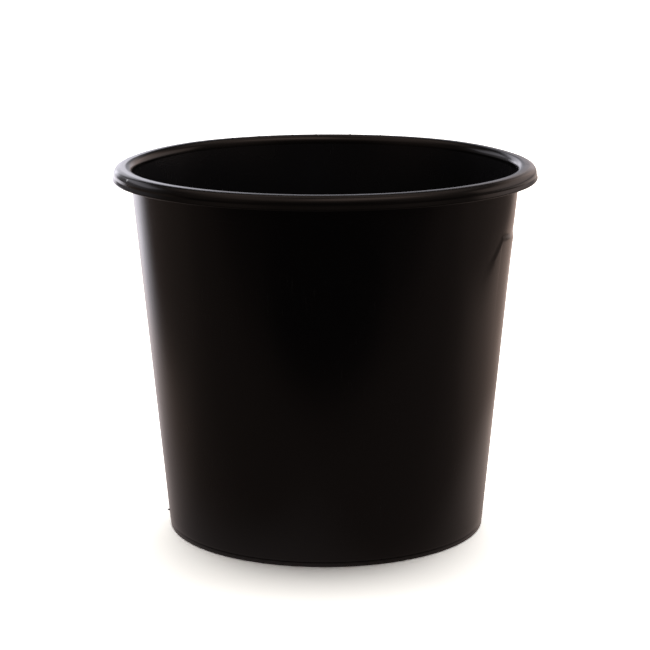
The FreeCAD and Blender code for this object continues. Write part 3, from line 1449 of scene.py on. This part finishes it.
@dataclass
class Studio:
    """A pale floor with a painted reflection for glossy skins, a soft light and the camera.

    Attributes:
        floor_radius: Radius of the floor.
        floor_segments: How many straight sides its edge has.
        ambient: How bright the room is to a dull surface.
        ambient_left: Share of that which comes from the left and from the middle.
        ambient_right: Share of it which comes from the right.
        floor_lift: How strongly the floor gives back the light that falls on it, to the camera.
        key_strength: Strength of the soft light above and behind the bucket.
        key_softness: How wide that light is, in radians.
        key_tilt: How far it leans back from straight up, in radians.
        side_tone: The most that the floor shows beyond the lit stretch's two sides.
        left_side: Where the lit stretch ends on the left.
        right_side: Where it ends on the right.
        left_feather: Over how far its left end fades, to either side.
        right_feather: The same for its right end.
        pool_depth: How much darker the floor's painted reflection is in the pool of painted shade in front.
        pool_place: How far in front of the axis that pool is.
        pool_size: Half its width and half its depth.
        glow: How bright the floor's painted reflection glows towards the back left, standing for a window
            that isn't there.
        near_glow: Share of that glow which reaches the bucket.
        camera_place: Where the camera stands.
        camera_pitch: How far it looks down, in radians.
        camera_roll: How far it leans to its right, in radians.
        lens: Its focal length in millimetres.
        sensor: Width of its sensor in millimetres.
    """

    floor_radius: float = 8.0
    floor_segments: int = 96
    ambient: float = 0.08
    ambient_left: float = 0.7
    ambient_right: float = 3.4
    floor_lift: float = 2.45
    key_strength: float = 2.8
    key_softness: float = math.radians(80)
    key_tilt: float = math.radians(28)
    side_tone: float = 0.115
    left_side: float = -0.42
    right_side: float = 0.64
    left_feather: float = 0.1
    right_feather: float = 0.04
    pool_depth: float = 0.70
    pool_place: float = 0.62
    pool_size: tuple[float, float] = (0.38, 0.27)
    glow: float = 1.75
    near_glow: float = 0.45
    camera_place: tuple[float, float, float] = (-0.0004, -1.5, 0.4689)
    camera_pitch: float = math.radians(12.465)
    camera_roll: float = math.radians(0.191)
    lens: float = 124.7
    sensor: float = 36.0

    RIGHT_TINT = (1.15, 0.97, 0.90)
    SHADE_TINT = (1.035, 1.0, 0.955)
    # Soft edges: where each starts and ends, and its values there where they aren't 0 and 1.
    AMBIENT_EDGE = (0.0, 0.95)
    POOL_EDGE = (1.25, 0.45)
    LEFT_REACH = (-0.25, -0.58)
    LEFT_DIAGONAL = (-0.28, 0.30)
    LEFT_EDGE = (0.05, -0.12)
    RIGHT_DIAGONAL = (-0.25, 0.35)
    RIGHT_START = (-0.1, 0.1)
    RIGHT_END = (0.55, 0.30, 0.0, 0.45)
    CLOSE_EDGE = (0.07, 0.012, 0.0, 0.26)
    FAR_BACK = (0.85, 1.3)
    FAR_RIGHT = (0.3, 0.7, 0.0, 0.42)
    FOOT_EDGE = (0.1165, 0.1115, 0.0, 0.06)
    # How steeply the right glow's diagonal runs back, and the middle of the glow close by the bucket.
    RIGHT_SLOPE = 1.6
    CLOSE_GLOW = (0.06, 0.15)
    # Tones of the lit stretch, from front to back: each its distance behind the axis and its tone.
    FLOOR_TONES = (
        (-1.15, 0.055), (-0.8, 0.008), (-0.6, 0.018), (-0.45, 0.036), (-0.3, 0.078), (-0.15, 0.085),
        (-0.05, 0.115), (0.0, 0.17), (0.1, 0.24), (0.2, 0.30), (0.35, 0.38), (0.8, 0.45))
    SOFT_BOXES = (
        SoftBox(0, 179, 1, 36, 92, 30, WARM, 0.31),
        SoftBox(35, 18, 45, 46, 92, 14, WARM, 0.45),
        SoftBox(0, 60, 40, -2, 50, 12, WARM, 0.045),
        SoftBox(0, 60, 40, 26, 62, 10, WARM, 0.11),
        SoftBox(90, 38, 30, -8, 60, 9, WARM, 0.05),
        SoftBox(-90, 38, 30, -8, 60, 9, WARM, 0.05),
        SoftBox(180, 60, 30, -6, 30, 10, LAVENDER, 0.17),
        SoftBox(180, 13, 8, -8, 16, 8, LAVENDER, 0.42),
        SoftBox(-167, 7, 4, -6, 28, 10, LAVENDER, 1.1),
        SoftBox(-157, 5, 1.5, -8, 14, 6, LAVENDER, 1.5),
        SoftBox(-130, 14, 8, 12, 36, 8, LAVENDER, 0.72),
        SoftBox(125, 25, 15, -2, 38, 12, WARM, 0.38),
        SoftBox(163, 7, 7, -6, 24, 8, WARM, 0.32),
    )

    def build(self) -> None:
        """Builds the world, the floor, the light and the camera."""
        self._world()
        self._floor()
        self._key_light()
        self._camera()
        bpy.context.scene.view_settings.view_transform = "Standard"
        bpy.context.scene.view_settings.look = "None"
        LOG.info("studio: %d soft boxes", len(self.SOFT_BOXES))

    @staticmethod
    def _soft_box_group() -> bpy.types.NodeTree:
        """A group that finds how much of a soft box lies in a direction.

        Returns:
            The group, with a Mask from 0 to 1.
        """
        graph, given, result = new_group(
            "soft_box",
            {"Outer": 0.0, "Inner": 1.0, "Low": 0.0, "Low Full": 5.0, "High Full": 40.0, "High": 45.0},
            ("Mask",), ("Direction", "Facing"))
        split = graph.node("ShaderNodeSeparateXYZ", {0: given.outputs["Direction"]})
        level = graph.node("ShaderNodeCombineXYZ", {0: split.outputs[0], 1: split.outputs[1]}).outputs[0]
        level = graph.node("ShaderNodeVectorMath", {0: level}, operation="NORMALIZE").outputs[0]
        toward = graph.node("ShaderNodeVectorMath", {
            0: level, 1: given.outputs["Facing"]}, operation="DOT_PRODUCT").outputs["Value"]
        elevation = graph.sum("DEGREES", graph.sum("ARCSINE", split.outputs[2]))
        mask = graph.ease(toward, given.outputs["Outer"], given.outputs["Inner"])
        for edge in ("Low", "High"):
            part = graph.ease(elevation, given.outputs[edge], given.outputs[f"{edge} Full"])
            mask = graph.sum("MULTIPLY", mask, part)
        graph.tree.links.new(mask, result.inputs["Mask"])
        return graph.tree

    def _world(self) -> None:
        """White to the camera, brighter from the right to dull surfaces, and soft boxes to glossy ones."""
        world = bpy.data.worlds.new("studio")
        world.use_nodes = True
        world.cycles.sampling_method = "NONE"
        bpy.context.scene.world = world
        graph = Graph(world.node_tree)
        group = self._soft_box_group()
        direction = graph.node("ShaderNodeTexCoord").outputs["Generated"]
        room: Value = (0.0, 0.0, 0.0)
        for box in self.SOFT_BOXES:
            azimuth = math.radians(box.azimuth)
            mask = graph.node("ShaderNodeGroup", {
                "Direction": direction,
                "Facing": (math.sin(azimuth), -math.cos(azimuth), 0.0),
                "Outer": math.cos(math.radians(min(180.0, box.half_width + box.side_feather))),
                "Inner": math.cos(math.radians(box.half_width)),
                "Low": box.low, "Low Full": box.low + box.feather,
                "High": box.high, "High Full": box.high - box.feather,
            }, node_tree=group).outputs["Mask"]
            room = graph.vector("ADD", room, graph.vector("MULTIPLY", mask, toned(box.colour, box.strength)))
        path = graph.node("ShaderNodeLightPath")
        rightward = graph.node("ShaderNodeSeparateXYZ", {0: direction}).outputs[0]
        even = graph.ease(rightward, *self.AMBIENT_EDGE,
                          self.ambient * self.ambient_left, self.ambient * self.ambient_right)
        seen = graph.blend(path.outputs["Is Glossy Ray"], even, room)
        seen = graph.blend(path.outputs["Is Camera Ray"], seen, (1.0, 1.0, 1.0, 1.0))
        background = graph.node("ShaderNodeBackground", {"Color": seen, "Strength": 1.0})
        graph.node("ShaderNodeOutputWorld", {"Surface": background.outputs[0]})

    def _floor(self) -> None:
        """A round pale floor that is seen only from above."""
        shell = bmesh.new()
        bmesh.ops.create_circle(shell, cap_ends=True, segments=self.floor_segments, radius=self.floor_radius)
        mesh = bpy.data.meshes.new("floor_plane")
        shell.to_mesh(mesh)
        shell.free()
        plane = bpy.data.objects.new("floor_plane", mesh)
        bpy.context.scene.collection.objects.link(plane)
        mesh.materials.append(self._floor_material())

    def _floor_material(self) -> bpy.types.Material:
        """A bright matt floor to the camera. For dull surfaces it glows evenly at the room's ambient. For
        glossy ones it glows with a painted reflection, a made-up tone of the studio round it, not the floor's
        own lit surface.

        Returns:
            The material.
        """
        made = bpy.data.materials.new("pale_floor")
        made.use_nodes = True
        made.cycles.emission_sampling = "NONE"
        graph = Graph(made.node_tree)
        # Glossy rays see a painted reflection, dull rays see an even painted glow, and the camera sees the
        # lamp-lit floor.
        reflection_paint = graph.node("ShaderNodeEmission", {"Color": self._painted_reflection_tone(graph), "Strength": 1.0})
        even = graph.node("ShaderNodeEmission", {
            "Color": (1.0, 1.0, 1.0, 1.0), "Strength": self.ambient})
        lift = toned(self.SHADE_TINT, self.floor_lift)
        seen = graph.node("ShaderNodeBsdfDiffuse", {"Color": (*lift, 1.0)})
        path = graph.node("ShaderNodeLightPath")
        shown = graph.node("ShaderNodeMixShader", {
            0: path.outputs["Is Glossy Ray"], 1: even.outputs[0], 2: reflection_paint.outputs[0]})
        shown = graph.node("ShaderNodeMixShader", {
            0: path.outputs["Is Camera Ray"], 1: shown.outputs[0], 2: seen.outputs[0]})
        behind = graph.node("ShaderNodeNewGeometry").outputs["Backfacing"]
        clear = graph.node("ShaderNodeBsdfTransparent")
        shown = graph.node("ShaderNodeMixShader", {0: behind, 1: shown.outputs[0], 2: clear.outputs[0]})
        graph.node("ShaderNodeOutputMaterial", {"Surface": shown.outputs[0]})
        return made

    def _painted_reflection_tone(self, graph: Graph) -> bpy.types.NodeSocket:
        """The painted reflection that a glossy skin sees of the floor, as emission: dim in front, lit at the
        sides, brightest at the back left.

        Args:
            graph: The floor material's graph.

        Returns:
            The tone.
        """
        place = graph.node("ShaderNodeTexCoord").outputs["Object"]
        split = graph.node("ShaderNodeSeparateXYZ", {0: place})
        spot = Spot(graph, split.outputs[0], split.outputs[1])
        half_width, half_depth = self.pool_size
        pool = graph.squares(
            graph.sum("MULTIPLY", spot.right, 1 / half_width),
            graph.sum("MULTIPLY_ADD", spot.back, 1 / half_depth, self.pool_place / half_depth))
        shade = graph.ease(pool, *self.POOL_EDGE, 1.0, 1 - self.pool_depth)
        tone = graph.vector("MULTIPLY", graph.sum("MULTIPLY", self._stretch(spot), shade), WARM)
        for glow, tint in ((self._left_glow(spot), LAVENDER), (self._right_glow(spot), self.RIGHT_TINT)):
            tone = graph.vector("ADD", tone, graph.vector("MULTIPLY", glow, tint))
        return tone

    def _stretch(self, spot: Spot) -> bpy.types.NodeSocket:
        """The lit stretch of the floor's painted reflection, brighter towards the back and dim beyond its two
        sides.

        Args:
            spot: The place on the floor.

        Returns:
            The tone.
        """
        graph = spot.graph
        first, last = self.FLOOR_TONES[0][0], self.FLOOR_TONES[-1][0]
        along = graph.node("ShaderNodeMapRange", {0: spot.back, 1: first, 2: last}).outputs[0]
        ramp = graph.node("ShaderNodeValToRGB", {0: along})
        stops = ramp.color_ramp.elements
        for index, (behind, tone) in enumerate(self.FLOOR_TONES):
            at = (behind - first) / (last - first)
            stop = stops[index] if index < 2 else stops.new(at)
            stop.position = at
            stop.color = (tone, tone, tone, 1.0)
        lit = ramp.outputs[0]
        left, right = self.left_side, self.right_side
        within = graph.sum(
            "MULTIPLY",
            graph.ease(spot.right, left - self.left_feather, left + self.left_feather),
            graph.ease(spot.right, right + self.right_feather, right - self.right_feather))
        beside = graph.sum("MINIMUM", lit, self.side_tone)
        return graph.node("ShaderNodeMapRange", {0: within, 3: beside, 4: lit}).outputs[0]

    def _left_glow(self, spot: Spot) -> bpy.types.NodeSocket:
        """The painted glow towards the back left.

        Args:
            spot: The place on the floor.

        Returns:
            How bright it is.
        """
        graph = spot.graph
        reach = graph.ease(spot.right, *self.LEFT_REACH, self.glow * self.near_glow, self.glow)
        diagonal = graph.ease(graph.sum("ADD", spot.right, spot.back), *self.LEFT_DIAGONAL)
        edge = graph.ease(spot.right, *self.LEFT_EDGE)
        return graph.sum("MULTIPLY", diagonal, graph.sum("MULTIPLY", edge, reach))

    def _right_glow(self, spot: Spot) -> bpy.types.NodeSocket:
        """The weaker painted glows: at the back right, far off, close by the bucket and right under its foot.

        Args:
            spot: The place on the floor.

        Returns:
            How bright they are.
        """
        graph, right, back = spot.graph, spot.right, spot.back
        diagonal = graph.sum("MULTIPLY_ADD", right, -self.RIGHT_SLOPE, back)
        glow = graph.sum("MULTIPLY", graph.ease(diagonal, *self.RIGHT_DIAGONAL),
                         graph.ease(right, *self.RIGHT_END))
        glow = graph.sum("MULTIPLY", glow, graph.ease(right, *self.RIGHT_START))
        close = graph.squares(graph.sum("SUBTRACT", right, self.CLOSE_GLOW[0]),
                              graph.sum("SUBTRACT", back, self.CLOSE_GLOW[1]))
        distant = graph.sum("MULTIPLY", graph.ease(back, *self.FAR_BACK),
                            graph.ease(right, *self.FAR_RIGHT))
        from_axis = graph.sum("SQRT", graph.squares(right, back))
        for part in (graph.ease(close, *self.CLOSE_EDGE), distant, graph.ease(from_axis, *self.FOOT_EDGE)):
            glow = graph.sum("ADD", glow, part)
        return glow

    def _key_light(self) -> None:
        """A wide soft light above and a little behind the bucket, which throws its shadow forwards."""
        lamp = bpy.data.lights.new("key_light", "SUN")
        lamp.energy = self.key_strength
        lamp.angle = self.key_softness
        light = bpy.data.objects.new("key_light", lamp)
        light.rotation_euler = (-self.key_tilt, 0.0, 0.0)
        light.visible_glossy = False
        bpy.context.scene.collection.objects.link(light)

    def _camera(self) -> None:
        """The camera, a little above the rim and looking down into the mouth."""
        lens = bpy.data.cameras.new("camera")
        lens.sensor_width = self.sensor
        lens.lens = self.lens
        camera = bpy.data.objects.new("camera", lens)
        tilt = Matrix.Rotation(math.pi / 2 - self.camera_pitch, 4, "X")
        lean = Matrix.Rotation(-self.camera_roll, 4, "Z")
        camera.matrix_world = Matrix.Translation(self.camera_place) @ tilt @ lean
        bpy.context.scene.collection.objects.link(camera)
        bpy.context.scene.camera = camera


def main() -> None:
    """Loads the frame, builds and dresses each zone over it, and sets up the studio."""
    logging.basicConfig(level=logging.INFO, format="%(name)s: %(message)s")
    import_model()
    shared = (Measures.from_frame(), WallForm(), Turning())
    wardrobe = Wardrobe()
    for zone in (Bottom(*shared), Wall(*shared), Rim(*shared)):
        zone.build()
        zone.dress(wardrobe)
    Studio().build()


if __name__ == "__main__":
    main()
